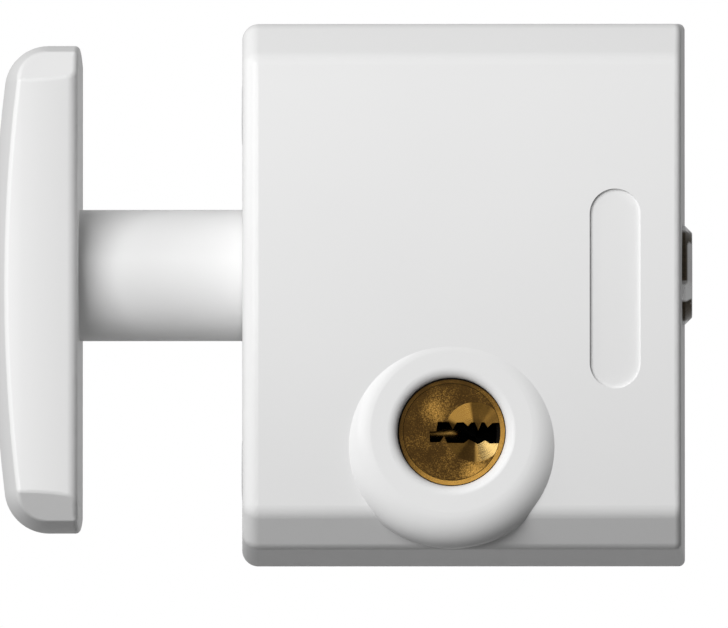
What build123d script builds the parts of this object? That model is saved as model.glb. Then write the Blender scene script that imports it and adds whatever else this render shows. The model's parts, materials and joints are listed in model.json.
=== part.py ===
from build123d import *
import os
from math import asin, cos, pi, radians, sin, sqrt, tan

# Push-bolt window lock with a key cylinder, modelled with its bolt drawn back.
# +X points out of the bolt's nose, +Z is up and the front faces -Y. The origin is the middle
# of the base plate's back face, which lies against the window. All sizes are millimetres.

os.makedirs("parts", exist_ok=True)

# Clearances
running_gap = 0.06  # radial, a shaft or barrel that moves in its hole
seat_gap = 0.04  # radial, a piece that is pushed into its seat
moving_gap = 0.3  # between faces that pass or meet as the lock works
slot_gap = 0.2  # each side of a pin in its slot
shear_gap = 0.05  # between the plug and the driver pins
coil_gap = 0.02  # between a spring's end and its seat
spare = 1.0  # how far a cut runs past the face that it opens

# Case
case_width = 54.3
case_height = 66.6
case_depth = 33.5
side_draft = 1.05  # degrees, the left and right walls
end_draft = 3.0  # degrees, the top and bottom walls
crown_radius = 160.0  # the front is gently crowned from top to bottom
crown_height = 55.3  # the height of the crowned front, between the two slopes
slope_depth = 4.5  # how far back the sloped top and bottom edges run
crown_edge_radius = 2.8
slope_edge_radius = 2.6
left_edge_radius = 2.0
right_edge_radius = 0.8
wall = 2.4
inner_edge_radius = 0.8

# Oblong recess
recess_length = 24.2
recess_width = 6.15
recess_depth = 0.45
recess_x = 18.6
recess_drop = 0.5  # its middle below the case's

# Bolt and shank
bolt_radius = 6.0
bolt_axis_y = -16.5
bolt_rise = 19.6  # the bolt's axis above the plug's
bolt_throw = 19.0
nose_reach = 0.85  # how far the drawn-back nose stands out of the case
nose_chamfer = 0.85
nose_edge_radius = 0.35  # between the chamfer and the nose's flat end
groove_core_radius = 4.0
shank_radius = 8.0
shank_entry = 5.3  # how far the drawn-back shank reaches into the case
tail_radius = 5.0
tail_length = 14.0
cross_pin_radius = 1.5
cross_pin_inset = 2.6  # from the shank's end to the cross pin
cross_pin_sink = 0.4  # its ends below the shank's surface
cross_pin_chamfer = 0.3

# Push plate
plate_gap = 0.45  # between the plate, pushed right in, and the case
plate_thickness = 10.65
plate_length = 59.4
plate_width = 28.0
plate_edge_rise = 1.9  # the dome's rise from the long edges to the middle
plate_dome_radius = 210.0  # along its length
plate_side_bulge = 0.55
plate_slope_length = 4.7  # of the sloped front corners, along Z
plate_slope_depth = 4.0  # and along Y
plate_corner_radius = 5.4
plate_crease_radius = 0.7
plate_side_radius = 1.4  # of the inner face's long edges
plate_end_radius = 0.6  # of its ends
plate_skin = 4.0  # the depth of the swept form under the dome
plate_lap = 0.5  # how far that form and the body inside it overlap

# Key cylinder
cylinder_x = -1.2
cylinder_rise = 15.45  # the plug's axis above the case's lowest edge
ring_face_inset = 0.15  # the ring's flat face behind the crown's highest line
ring_flat_radius = 9.8
ring_edge_radius = 4.2
ring_hole_radius = 6.56
ring_lip_radius = 1.2
ring_backing = 2.2  # solid metal round the ring's flat face, behind it
socket_depth = 4.5  # the socket behind the body's shoulder
socket_wall = 2.0
body_face_inset = 1.25  # the brass face behind the ring's face
body_nose_radius = 6.45
body_nose_length = 3.5
body_radius = 8.0
body_rear_y = -8.7
chamber_block_width = 6.8
chamber_block_reach = 14.4
chamber_block_front = 3.9  # from the brass face to the block
chamber_block_rear = 1.6  # from the block to the body's rear
strip_thickness = 0.8
strip_corner_radius = 0.5
chamber_way_gap = 0.5  # past the strip, in the case's socket
plug_head_radius = 5.85
plug_face_reach = 0.06  # in front of the body's face
plug_head_length = 1.6
plug_radius = 5.4
dish_offset = 2.8
dish_radius = 3.6
dish_depth = 1.5
pin_count = 5
pin_pitch = 3.2
first_pin_inset = 5.9
keyway_reach = 1.4  # from the last pin's axis to the keyway's end
pin_radius = 1.15
driver_length = 3.8
key_pin_tips = [1.2, -0.4, 0.5, -0.9, 0.1]  # each tip's place along X from the plug's axis
pin_spring_wire = 0.35
pin_spring_turns = 4
pin_spring_sides = 4

# Cam, locking fork and mechanism plate
cam_throw = 3.8  # from the plug's axis to the cam's pin
cam_thickness = 1.8
cam_hub_radius = 4.6
cam_lobe_radius = 2.2
cam_pin_radius = 1.4
cam_tongue_width = 2.4
cam_tongue_depth = 1.3
cam_tongue_inset = 0.2  # its ends inside the plug's surface
cam_screw_radius = 1.25
cam_screw_head_radius = 2.2
cam_screw_wall = 0.75  # the brass left between its hole and the last pin
cam_screw_spare = 1.0  # the hole's depth past the screw's tip
cam_screw_slot = 0.6  # wide and deep
plate_sheet = 1.5  # the mechanism plate's thickness
plate_low_corner = 2.0  # its corner radii
plate_high_corner = 1.2
plate_arm_margin = 2.0  # above the bolt's guide pin
fork_sheet = 2.2
fork_tip_gap = 0.25  # between the lifted fork and the groove's core
fork_rise_angle = 90.0  # the plug's turn
tongue_reach = 7.7  # from the plug's axis to the middle of the fork's bent tongue
fork_prong_height = 0.2  # the prongs' tops above the groove core's middle, when lifted
fork_tongue_web = 3.7  # the tongue's depth under the fork's arc
tongue_gap = 0.25  # each side of the tongue in the bolt's groove
fork_margin = 1.8  # round the slots of its guide pins
fork_low_margin = 1.6  # and below them
fork_shoulder = 2.0  # the slope at the root of the tongue, along X
fork_prong_reach = 2.4  # the front prong's thickness
guide_pin_radius = 1.5
fork_guide_reach = 7.8  # from the plug's axis to the fork's guide pins, along -X
fork_guide_above = 8.0  # and their heights above and below it
fork_guide_below = 2.8
bolt_guide_reach = 11.8  # from the plug's axis to the bolt's guide pin
bolt_guide_depth = 2.2

# Return spring and its seat
spring_wire = 0.9
spring_turns = 5.5
wire_sides = 6  # the wire is drawn as a prism, to keep it light
spring_radius = 7.0  # to the middle of the wire
washer_thickness = 0.7
rib_thickness = 1.5
rib_reach = 1.4  # behind the bolt
rib_rise = 6.0  # above the bolt
rib_body_gap = 1.2  # from the cylinder body's level to the rib's foot

# Bushes
bush_wall = 1.7
left_bush_length = 5.2
right_bush_length = 5.8
bush_cover = 1.2  # the case wall left outside each bush
bush_boss_wall = 2.0  # cast round each bush

# Base plate and fasteners
base_sheet = 2.0
base_gap = 0.25  # between the base plate's edge and the case's walls
base_corner_radius = 1.5
mount_edge_x = 9.15  # from the case's sides to the mounting holes
mount_edge_z = 8.3  # and from its ends
mount_hole_radius = 2.25
mount_sink_radius = 3.5
mount_sink_angle = 90.0
tab_length = 11.0
tab_reach = 9.0
tab_edge = 11.6  # from the case's ends to the tabs' middles
tab_sheet = 1.8
tab_corner_radius = 1.5
hook_length = 8.0
hook_reach = 1.3
hook_sheet = 1.2
hook_root = 1.0  # the hook's lap on the base plate
hook_edge = 15.1  # from the case's ends to the hooks' middles
cover_screw_radius = 2.0
cover_screw_head_radius = 3.75
cover_screw_length = 5.4
cover_screw_y = -6.5
hex_radius = 1.25  # of its socket for a key, corner to corner
hex_depth = 1.4
post_radius = 3.0
post_screw_radius = 1.5
post_screw_head_radius = 2.6
post_screw_head_height = 1.7
post_screw_edge = 0.5  # the chamfer round its head
post_screw_length = 6.5
post_screw_spare = 0.5  # the hole's depth past the screw's tip
driver_cross = 2.4  # the length, width and depth of its cross recess
driver_cross_width = 0.6
driver_cross_depth = 0.8
left_post_inset = 6.5  # from the left wall's inner face to the left posts
right_post_reach = 14.4  # from the plug's axis to the right posts
low_post_drop = 7.0  # the lower posts below the plug's axis
left_post_rise = 6.2  # the upper posts above it
right_post_rise = 9.2

# Places worked out from the sizes above
half_width = case_width / 2
half_height = case_height / 2
front_y = -case_depth
crown_edge_y = front_y + crown_radius - sqrt(crown_radius**2 - (crown_height / 2) ** 2)
slope_end_y = crown_edge_y + slope_depth
left_wall_x = -half_width
left_inner_x = left_wall_x + wall
right_inner_x = half_width - wall
cylinder_z = cylinder_rise - half_height
bolt_axis_z = cylinder_z + bolt_rise
ring_face_y = front_y + ring_face_inset
body_face_y = ring_face_y + body_face_inset
body_shoulder_y = body_face_y + body_nose_length
shank_end_x = left_wall_x + shank_entry
nose_x = half_width + nose_reach
plate_inner_x = left_wall_x - bolt_throw - plate_gap
plate_outer_x = plate_inner_x - plate_thickness
plate_near_y = bolt_axis_y - plate_width / 2
plate_far_y = bolt_axis_y + plate_width / 2
mech_front_y = body_rear_y
mech_rear_y = body_rear_y + plate_sheet
cam_front_y = mech_rear_y + moving_gap
cam_rear_y = cam_front_y + cam_thickness
fork_front_y = cam_rear_y + moving_gap
fork_rear_y = fork_front_y + fork_sheet
cam_start = radians(-fork_rise_angle / 2)
fork_travel = 2 * cam_throw * sin(radians(fork_rise_angle / 2))
cam_pin_x = cylinder_x + cam_throw * cos(cam_start)
cam_pin_z = cylinder_z + cam_throw * sin(cam_start)
fork_guide_x = cylinder_x - fork_guide_reach
fork_guide_high_z = cylinder_z + fork_guide_above
fork_guide_low_z = cylinder_z - fork_guide_below
bolt_guide_x = cylinder_x + bolt_guide_reach
post_places = [
    (left_inner_x + left_post_inset, cylinder_z - low_post_drop),
    (left_inner_x + left_post_inset, cylinder_z + left_post_rise),
    (cylinder_x + right_post_reach, cylinder_z - low_post_drop),
    (cylinder_x + right_post_reach, cylinder_z + right_post_rise),
]
tongue_x = cylinder_x + tongue_reach
groove_width = fork_sheet + 2 * tongue_gap
tongue_left_x = tongue_x - fork_sheet / 2
tongue_right_x = tongue_x + fork_sheet / 2
rib_right_x = tongue_left_x - moving_gap
rib_left_x = rib_right_x - rib_thickness
washer_left_x = rib_left_x - washer_thickness
spring_length = washer_left_x - shank_end_x
fork_prong_z = bolt_axis_z - fork_travel + fork_prong_height
fork_tongue_low_z = bolt_axis_z - fork_travel - groove_core_radius - fork_tip_gap - fork_tongue_web
cross_pin_x = shank_end_x - cross_pin_inset
left_bush_radius = shank_radius + bush_wall
right_bush_radius = bolt_radius + bush_wall
left_bush_x = left_wall_x + bush_cover
right_bush_x = half_width - bush_cover - right_bush_length
tab_z = half_height - tab_edge
hook_z = half_height - hook_edge
base_edge_x = half_width - wall - base_gap
base_edge_z = half_height - wall - base_gap
bolt_axis = Axis((0, bolt_axis_y, bolt_axis_z), (1, 0, 0))
cylinder_axis = Axis((cylinder_x, 0, cylinder_z), (0, 1, 0))
pin_ys = [body_face_y + first_pin_inset + n * pin_pitch for n in range(pin_count)]
last_pin_y = pin_ys[-1] + pin_radius
cam_screw_depth = cam_front_y - last_pin_y - cam_screw_wall


def cross_plane(x):
    """A plane square to the bolt, with its origin on the bolt's axis."""
    return Plane(origin=(x, bolt_axis_y, bolt_axis_z), x_dir=(0, 1, 0), z_dir=(1, 0, 0))


def key_plane(y):
    """A plane square to the key, facing the back, with its origin on the plug's axis."""
    return Plane(origin=(cylinder_x, y, cylinder_z), x_dir=(1, 0, 0), z_dir=(0, -1, 0))


def key_section():
    """The plane through the plug's axis: local X is the radius and local Y runs along +Y."""
    return Plane(origin=(cylinder_x, 0, cylinder_z), x_dir=(1, 0, 0), z_dir=(0, 0, 1))


def front_plane(y):
    """A plane facing the viewer: local X is X and local Y is Z."""
    return Plane(origin=(0, y, 0), x_dir=(1, 0, 0), z_dir=(0, -1, 0))


def finish(piece, name):
    """Labels one finished piece and writes it."""
    piece.part.label = name
    export_step(piece.part, f"parts/{name}.step")


def case_form(inset, back_y, edge_radii):
    """The case's outer form, or the same form moved inwards by inset, from back_y forwards."""

    def half_at(y):
        return half_height + y * tan(radians(end_draft))

    with BuildPart() as form:
        with BuildSketch(Plane.YZ):
            with BuildLine():
                top_edge = Polyline(
                    (back_y, half_at(back_y)),
                    (slope_end_y, half_at(slope_end_y)),
                    (crown_edge_y, crown_height / 2),
                )
                ThreePointArc(top_edge @ 1, (front_y, 0), (crown_edge_y, -crown_height / 2))
                Polyline(
                    (crown_edge_y, -crown_height / 2),
                    (slope_end_y, -half_at(slope_end_y)),
                    (back_y, -half_at(back_y)),
                )
                Line((back_y, -half_at(back_y)), (back_y, half_at(back_y)))
            make_face()
            if inset:
                offset(amount=-inset, kind=Kind.INTERSECTION)
            corners = vertices().group_by(Axis.X)
            fillet(corners[0], edge_radii[0])
            fillet(vertices().group_by(Axis.X)[-2], edge_radii[1])
        extrude(amount=half_width, both=True)
        with BuildSketch(Plane.XY):
            with BuildLine():
                front_half = half_width + (front_y - spare) * tan(radians(side_draft)) - inset
                back_half = half_width + back_y * tan(radians(side_draft)) - inset
                Polyline(
                    (-back_half, back_y),
                    (back_half, back_y),
                    (front_half, front_y - spare),
                    (-front_half, front_y - spare),
                    close=True,
                )
            make_face()
        extrude(amount=case_height, both=True, mode=Mode.INTERSECT)
    return form.part


def rounded_case():
    """The case's outer form with its left and right edges rounded."""
    with BuildPart() as form:
        add(case_form(0, 0, (crown_edge_radius, slope_edge_radius)))
        left_edges = faces().sort_by(Axis.X)[0].edges().filter_by(lambda e: e.center().Y < -0.01)
        fillet(left_edges, left_edge_radius)
        right_edges = faces().sort_by(Axis.X)[-1].edges().filter_by(lambda e: e.center().Y < -0.01)
        fillet(right_edges, right_edge_radius)
    return form.part


def ring_boss():
    """The raised boss round the key, solid, with its rounded outer edge."""
    skirt_radius = ring_flat_radius + ring_edge_radius
    with BuildPart() as boss:
        with BuildSketch(key_section()):
            with BuildLine():
                Line((0, ring_face_y), (ring_flat_radius, ring_face_y))
                arc_end = (skirt_radius, ring_face_y + ring_edge_radius)
                TangentArc((ring_flat_radius, ring_face_y), arc_end, tangent=(1, 0))
                back_y = slope_end_y + spare
                Polyline(arc_end, (skirt_radius, back_y), (0, back_y), (0, ring_face_y))
            make_face()
        revolve(axis=cylinder_axis)
    return boss.part


def ring_bore():
    """What the key cylinder's seat takes out of the case: the lip, the hole and the socket."""
    with BuildPart() as bore:
        with BuildSketch(key_section()):
            lip_radius = ring_hole_radius + ring_lip_radius
            socket_radius = body_radius + seat_gap
            with BuildLine():
                Polyline((ring_hole_radius, ring_face_y + ring_lip_radius),
                         (ring_hole_radius, body_shoulder_y),
                         (socket_radius, body_shoulder_y),
                         (socket_radius, spare),
                         (0, spare),
                         (0, ring_face_y - spare),
                         (lip_radius, ring_face_y - spare),
                         (lip_radius, ring_face_y))
                TangentArc((lip_radius, ring_face_y),
                           (ring_hole_radius, ring_face_y + ring_lip_radius), tangent=(-1, 0))
            make_face()
        revolve(axis=cylinder_axis)
    return bore.part


def recess_tool():
    """The oblong recess, its floor following the crowned front."""
    with BuildPart() as tool:
        with BuildSketch(front_plane(crown_edge_y)):
            with Locations((recess_x, -recess_drop)):
                SlotOverall(recess_length, recess_width, rotation=90)
        extrude(amount=crown_edge_y - front_y + spare)
        with BuildSketch(Plane.YZ.offset(-half_width)):
            with Locations((front_y + crown_radius, 0)):
                Circle(crown_radius - recess_depth)
        extrude(amount=case_width, mode=Mode.SUBTRACT)
    return tool.part


def inner_features():
    """The posts, bosses, rib and socket cast inside the case, trimmed to lie within its walls."""
    with BuildPart() as inner:
        with BuildSketch(front_plane(mech_front_y)):
            with Locations(*post_places):
                Circle(post_radius)
        extrude(amount=case_depth)
        with BuildSketch(key_plane(body_shoulder_y + socket_depth)):
            Circle(body_radius + seat_gap + socket_wall)
        extrude(amount=socket_depth)
        with BuildSketch(key_plane(body_shoulder_y)):
            Circle(ring_flat_radius + ring_backing)
        extrude(amount=case_depth)
        with BuildSketch(cross_plane(left_wall_x)):
            Circle(left_bush_radius + seat_gap + bush_boss_wall)
        extrude(amount=bush_cover + left_bush_length)
        with BuildSketch(cross_plane(half_width)):
            Circle(right_bush_radius + seat_gap + bush_boss_wall)
        extrude(amount=-(bush_cover + right_bush_length))
        with BuildSketch(front_plane(bolt_axis_y + bolt_radius + rib_reach)):
            rib_bottom_z = cylinder_z + body_radius + rib_body_gap
            rib_top_z = bolt_axis_z + bolt_radius + rib_rise
            with Locations((rib_left_x + rib_thickness / 2, (rib_bottom_z + rib_top_z) / 2)):
                Rectangle(rib_thickness, rib_top_z - rib_bottom_z)
        extrude(amount=case_depth)
        add(case_form(wall / 2, 0, (inner_edge_radius, inner_edge_radius)), mode=Mode.INTERSECT)
    return inner.part


# Housing: cast in one piece, open at the back
outer_form = rounded_case()
boss_form = ring_boss()
cavity_form = case_form(wall, wall + spare, (inner_edge_radius, inner_edge_radius))
inner_form = inner_features()
bore_form = ring_bore()
recess_form = recess_tool()
with BuildPart() as housing:
    add(outer_form)
    add(boss_form)
    add(cavity_form, mode=Mode.SUBTRACT)
    add(inner_form)
    add(bore_form, mode=Mode.SUBTRACT)
    add(recess_form, mode=Mode.SUBTRACT)
    # the chamber block's way through the socket
    with BuildSketch(key_plane(0)):
        way_reach = chamber_block_reach + strip_thickness + chamber_way_gap
        with Locations((-way_reach / 2, 0)):
            Rectangle(way_reach, chamber_block_width + 2 * seat_gap)
    extrude(amount=-(body_face_y + chamber_block_front - seat_gap), mode=Mode.SUBTRACT)
    # the shank's hole and its bush's seat
    with BuildSketch(cross_plane(left_wall_x - spare)):
        Circle(shank_radius + moving_gap)
    extrude(amount=bush_cover + left_bush_length + 2 * spare, mode=Mode.SUBTRACT)
    with BuildSketch(cross_plane(left_bush_x)):
        Circle(left_bush_radius + seat_gap)
    extrude(amount=left_bush_length + spare, mode=Mode.SUBTRACT)
    # the bolt's holes through the rib and the right wall, and the right bush's seat
    with BuildSketch(cross_plane(rib_left_x - spare)):
        Circle(bolt_radius + moving_gap)
    extrude(amount=case_width, mode=Mode.SUBTRACT)
    with BuildSketch(cross_plane(right_bush_x - spare)):
        Circle(right_bush_radius + seat_gap)
    extrude(amount=right_bush_length + spare, mode=Mode.SUBTRACT)
    # pilot holes in the posts
    with BuildSketch(front_plane(mech_front_y)):
        with Locations(*post_places):
            Circle(post_screw_radius)
    extrude(amount=post_screw_length, mode=Mode.SUBTRACT)
    # countersinks for the cover screws in the left wall
    for side in (1, -1):
        sink = Plane(
            origin=(left_wall_x, cover_screw_y, side * tab_z), x_dir=(0, 1, 0), z_dir=(-1, 0, 0)
        )
        with Locations(sink):
            CounterSinkHole(
                cover_screw_radius + seat_gap, cover_screw_head_radius + seat_gap, depth=wall + spare
            )
    # pockets for the base plate's hooks in the right wall
    with BuildSketch(Plane.YZ.offset(right_inner_x - spare)):
        with Locations(*[(hook_sheet / 2 - base_sheet, side * hook_z) for side in (1, -1)]):
            Rectangle(hook_sheet + 2 * seat_gap, hook_length + 2 * base_gap)
    extrude(amount=spare + hook_reach + seat_gap - base_gap, mode=Mode.SUBTRACT)
finish(housing, "housing")

# Base plate: bent steel, with two threaded tabs on the left and two hooks on the right
with BuildPart() as base_plate:
    with BuildSketch(front_plane(0)):
        Rectangle(2 * base_edge_x, 2 * base_edge_z)
        fillet(vertices(), base_corner_radius)
    extrude(amount=base_sheet)
    with BuildSketch(front_plane(0)):
        with Locations(*[(-base_edge_x + tab_sheet / 2, side * tab_z) for side in (1, -1)]):
            Rectangle(tab_sheet, tab_length)
    extrude(amount=base_sheet + tab_reach)
    with BuildSketch(front_plane(hook_sheet - base_sheet)):
        with Locations(*[(base_edge_x + (hook_reach - hook_root) / 2, side * hook_z) for side in (1, -1)]):
            Rectangle(hook_reach + hook_root, hook_length)
    extrude(amount=hook_sheet)
    tab_tops = edges().filter_by(Axis.X).group_by(Axis.Y)[0]
    fillet(tab_tops, tab_corner_radius)
    mount_holes = front_plane(-base_sheet)
    with Locations(mount_holes):
        with GridLocations(case_width - 2 * mount_edge_x, case_height - 2 * mount_edge_z, 2, 2):
            CounterSinkHole(
                mount_hole_radius, mount_sink_radius, depth=base_sheet, counter_sink_angle=mount_sink_angle
            )
    with BuildSketch(Plane.YZ.offset(-half_width)):
        with Locations(*[(cover_screw_y, side * tab_z) for side in (1, -1)]):
            Circle(cover_screw_radius + seat_gap)
    extrude(amount=half_width, mode=Mode.SUBTRACT)
finish(base_plate, "base_plate")

# Cover screws: countersunk, through the left wall into the tabs
with BuildPart() as cover_screws:
    for side in (1, -1):
        place = (left_wall_x, cover_screw_y, side * tab_z)
        head_depth = cover_screw_head_radius - cover_screw_radius
        wall_lean = -cover_screw_y * tan(radians(side_draft))
        with BuildSketch(Plane(origin=place, x_dir=(1, 0, 0), z_dir=(0, -1, 0))):
            with BuildLine():
                Polyline(
                    (wall_lean, 0),
                    (wall_lean, cover_screw_head_radius - wall_lean),
                    (head_depth, cover_screw_radius),
                    (cover_screw_length, cover_screw_radius),
                    (cover_screw_length, 0),
                    close=True,
                )
            make_face()
        revolve(axis=Axis(place, (1, 0, 0)))
        drive = Plane(origin=(left_wall_x + wall_lean, *place[1:]), x_dir=(0, 1, 0), z_dir=(-1, 0, 0))
        with BuildSketch(drive):
            RegularPolygon(hex_radius, 6)
        extrude(amount=-hex_depth, mode=Mode.SUBTRACT)
finish(cover_screws, "cover_screws")


def corner_point(side, radius):
    """The middle of a plate corner's arc, or of one of another radius round the same centre."""
    angle = (dome_angle + pi / 2) / 2
    return (corner_x - radius * cos(angle), side * (corner_z + radius * sin(angle)))


def dome_point(side, inset):
    """Where the plate's dome passes into its corner, moved inwards by inset."""
    radius = plate_dome_radius - inset
    return (dome_centre_x - radius * cos(dome_angle), side * radius * sin(dome_angle))


# Handle: the domed push plate and its shank, cast in one piece
half_length = plate_length / 2
dome_centre_x = plate_outer_x + plate_dome_radius
corner_z = half_length - plate_corner_radius
corner_reach = plate_dome_radius - plate_corner_radius
corner_x = dome_centre_x - sqrt(corner_reach**2 - corner_z**2)
dome_angle = asin(corner_z / corner_reach)
inner_radius = plate_corner_radius - plate_skin + plate_lap
with BuildPart() as handle:
    # the dome's section swept round the plate's outline
    with BuildLine(Plane.XZ) as outline:
        Line((plate_inner_x, half_length), (corner_x, half_length))
        ThreePointArc(outline.line @ 1, corner_point(1, plate_corner_radius), dome_point(1, 0))
        ThreePointArc(dome_point(1, 0), (plate_outer_x, 0), dome_point(-1, 0))
        ThreePointArc(
            dome_point(-1, 0), corner_point(-1, plate_corner_radius), (corner_x, -half_length)
        )
        Line((corner_x, -half_length), (plate_inner_x, -half_length))
    with BuildSketch(Plane.YZ.offset(plate_inner_x)):
        with BuildLine():
            near_y = plate_near_y - spare
            far_y = plate_far_y + spare
            edge_z = half_length - plate_edge_rise * (1 + 2 * spare / plate_width) ** 2
            ThreePointArc((near_y, edge_z), (bolt_axis_y, half_length), (far_y, edge_z))
            Polyline(
                (far_y, edge_z),
                (far_y, half_length - plate_skin),
                (near_y, half_length - plate_skin),
                (near_y, edge_z),
            )
        make_face()
    sweep(path=outline.line)
    # the plate's body inside that skin
    with BuildSketch(Plane.XZ.offset(-near_y)):
        depth = plate_skin - plate_lap
        with BuildLine():
            Polyline(
                dome_point(-1, depth),
                corner_point(-1, inner_radius),
                (corner_x, depth - half_length),
                (plate_inner_x, depth - half_length),
                (plate_inner_x, half_length - depth),
                (corner_x, half_length - depth),
                corner_point(1, inner_radius),
                dome_point(1, depth),
            )
            ThreePointArc(dome_point(1, depth), (plate_outer_x + depth, 0), dome_point(-1, depth))
        make_face()
    extrude(amount=near_y - far_y)
    # the slightly bulged long sides
    with BuildSketch(Plane.XY):
        side_start_x = plate_outer_x - spare
        side_middle_x = (plate_outer_x + plate_inner_x) / 2
        side_near_y = plate_near_y + plate_side_bulge
        side_far_y = plate_far_y - plate_side_bulge
        with BuildLine():
            ThreePointArc(
                (side_start_x, side_near_y), (side_middle_x, plate_near_y), (plate_inner_x, side_near_y)
            )
            Line((plate_inner_x, side_near_y), (plate_inner_x, side_far_y))
            ThreePointArc(
                (plate_inner_x, side_far_y), (side_middle_x, plate_far_y), (side_start_x, side_far_y)
            )
            Line((side_start_x, side_far_y), (side_start_x, side_near_y))
        make_face()
    extrude(amount=plate_length, both=True, mode=Mode.INTERSECT)
    # the rounded edges of the inner face
    fillet(faces().sort_by(Axis.X)[-1].edges().filter_by(Axis.Z), plate_side_radius)
    inner_edges = faces().sort_by(Axis.X)[-1].edges()
    fillet(inner_edges.filter_by(lambda e: abs(e.center().Z) > half_length - spare), plate_end_radius)
    # the sloped front corners
    lean = plate_slope_length / plate_slope_depth
    with BuildSketch(Plane.YZ.offset(plate_inner_x)):
        for side in (1, -1):
            with BuildLine():
                Polyline(
                    (plate_near_y - spare, side * (half_length - plate_slope_length - lean * spare)),
                    (plate_near_y - spare, side * (half_length + lean * spare)),
                    (plate_near_y + plate_slope_depth + spare, side * (half_length + lean * spare)),
                    close=True,
                )
            make_face()
    extrude(amount=-plate_thickness - spare, mode=Mode.SUBTRACT)
    outer_edges = edges().filter_by(lambda e: e.center().X < plate_inner_x - plate_side_radius - spare)
    fillet(outer_edges, plate_crease_radius)
    # the shank, bored for the bolt's tail and drilled for the cross pin
    with BuildSketch(cross_plane(plate_inner_x - spare)):
        Circle(shank_radius)
    extrude(amount=shank_end_x - plate_inner_x + spare)
    with BuildSketch(cross_plane(shank_end_x)):
        Circle(tail_radius + seat_gap)
    extrude(amount=-tail_length - spare, mode=Mode.SUBTRACT)
    with BuildSketch(Plane.XY.offset(bolt_axis_z)):
        with Locations((cross_pin_x, bolt_axis_y)):
            Circle(cross_pin_radius + seat_gap)
    extrude(amount=shank_radius + spare, both=True, mode=Mode.SUBTRACT)
finish(handle, "handle")

# Bolt: turned steel, with a reduced tail, two locking grooves and a guide slot at the back
with BuildPart() as bolt:
    with BuildSketch(cross_plane(shank_end_x)):
        Circle(bolt_radius)
    extrude(amount=nose_x - shank_end_x)
    chamfer(faces().sort_by(Axis.X)[-1].edges(), nose_chamfer)
    fillet(faces().sort_by(Axis.X)[-1].edges(), nose_edge_radius)
    with BuildSketch(cross_plane(shank_end_x)):
        Circle(tail_radius)
    extrude(amount=-tail_length)
    for groove_x in (tongue_x, tongue_x - bolt_throw):
        with BuildSketch(cross_plane(groove_x - groove_width / 2)):
            Circle(bolt_radius + spare)
            Circle(groove_core_radius, mode=Mode.SUBTRACT)
        extrude(amount=groove_width, mode=Mode.SUBTRACT)
    slot_radius = guide_pin_radius + slot_gap / 2
    with BuildSketch(front_plane(bolt_axis_y + bolt_radius - bolt_guide_depth)):
        with Locations((bolt_guide_x - bolt_throw / 2, bolt_axis_z)):
            SlotCenterToCenter(bolt_throw, 2 * slot_radius)
    extrude(amount=-bolt_guide_depth - spare, mode=Mode.SUBTRACT)
    with BuildSketch(Plane.XY.offset(bolt_axis_z)):
        with Locations((cross_pin_x, bolt_axis_y)):
            Circle(cross_pin_radius + seat_gap)
    extrude(amount=bolt_radius, both=True, mode=Mode.SUBTRACT)
finish(bolt, "bolt")

# Cross pin: holds the bolt's tail in the shank, just below the shank's surface
with BuildPart() as cross_pin:
    pin_half = shank_radius - cross_pin_sink
    with BuildSketch(Plane.XY.offset(bolt_axis_z)):
        with Locations((cross_pin_x, bolt_axis_y)):
            Circle(cross_pin_radius)
    extrude(amount=pin_half, both=True)
    chamfer(edges().filter_by(GeomType.CIRCLE), cross_pin_chamfer)
finish(cross_pin, "cross_pin")

# Bushes for the shank and the bolt
with BuildPart() as left_bush:
    with BuildSketch(cross_plane(left_bush_x)):
        Circle(left_bush_radius)
        Circle(shank_radius + running_gap, mode=Mode.SUBTRACT)
    extrude(amount=left_bush_length)
finish(left_bush, "left_bush")

with BuildPart() as right_bush:
    with BuildSketch(cross_plane(right_bush_x)):
        Circle(right_bush_radius)
        Circle(bolt_radius + running_gap, mode=Mode.SUBTRACT)
    extrude(amount=right_bush_length)
finish(right_bush, "right_bush")

# Return spring and the washer it presses on
with BuildPart() as return_spring:
    wire_radius = spring_wire / 2
    coil_length = spring_length - spring_wire - 2 * coil_gap
    coil_start = (shank_end_x + wire_radius + coil_gap, bolt_axis_y, bolt_axis_z)
    with BuildLine() as coil:
        Helix(
            pitch=coil_length / spring_turns,
            height=coil_length,
            radius=spring_radius,
            center=coil_start,
            direction=(1, 0, 0),
        )
    with BuildSketch(Plane(origin=coil.line @ 0, z_dir=coil.line % 0)):
        RegularPolygon(wire_radius, wire_sides)
    sweep(path=coil.line, is_frenet=True)
finish(return_spring, "return_spring")

with BuildPart() as spring_washer:
    with BuildSketch(cross_plane(washer_left_x)):
        Circle(spring_radius + spring_wire)
        Circle(bolt_radius + moving_gap, mode=Mode.SUBTRACT)
    extrude(amount=washer_thickness)
finish(spring_washer, "spring_washer")

# Cylinder body: turned brass with a chamber block towards -X
with BuildPart() as cylinder_body:
    with BuildSketch(key_plane(body_face_y)):
        Circle(body_nose_radius)
    extrude(amount=-body_nose_length)
    with BuildSketch(key_plane(body_shoulder_y)):
        Circle(body_radius)
    extrude(amount=body_shoulder_y - body_rear_y)
    block_front_y = body_face_y + chamber_block_front
    block_rear_y = body_rear_y - chamber_block_rear
    with BuildSketch(key_plane(block_front_y)):
        with Locations((-chamber_block_reach / 2, 0)):
            Rectangle(chamber_block_reach, chamber_block_width)
    extrude(amount=block_front_y - block_rear_y)
    with BuildSketch(key_plane(body_face_y)):
        Circle(plug_head_radius + running_gap)
    extrude(amount=-plug_head_length - running_gap, mode=Mode.SUBTRACT)
    with BuildSketch(key_plane(body_face_y)):
        Circle(plug_radius + running_gap)
    extrude(amount=body_face_y - body_rear_y, mode=Mode.SUBTRACT)
    with BuildSketch(Plane.YZ.offset(cylinder_x)):
        with Locations(*[(y, cylinder_z) for y in pin_ys]):
            Circle(pin_radius + running_gap)
    extrude(amount=-chamber_block_reach, mode=Mode.SUBTRACT)
finish(cylinder_body, "cylinder_body")

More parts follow.
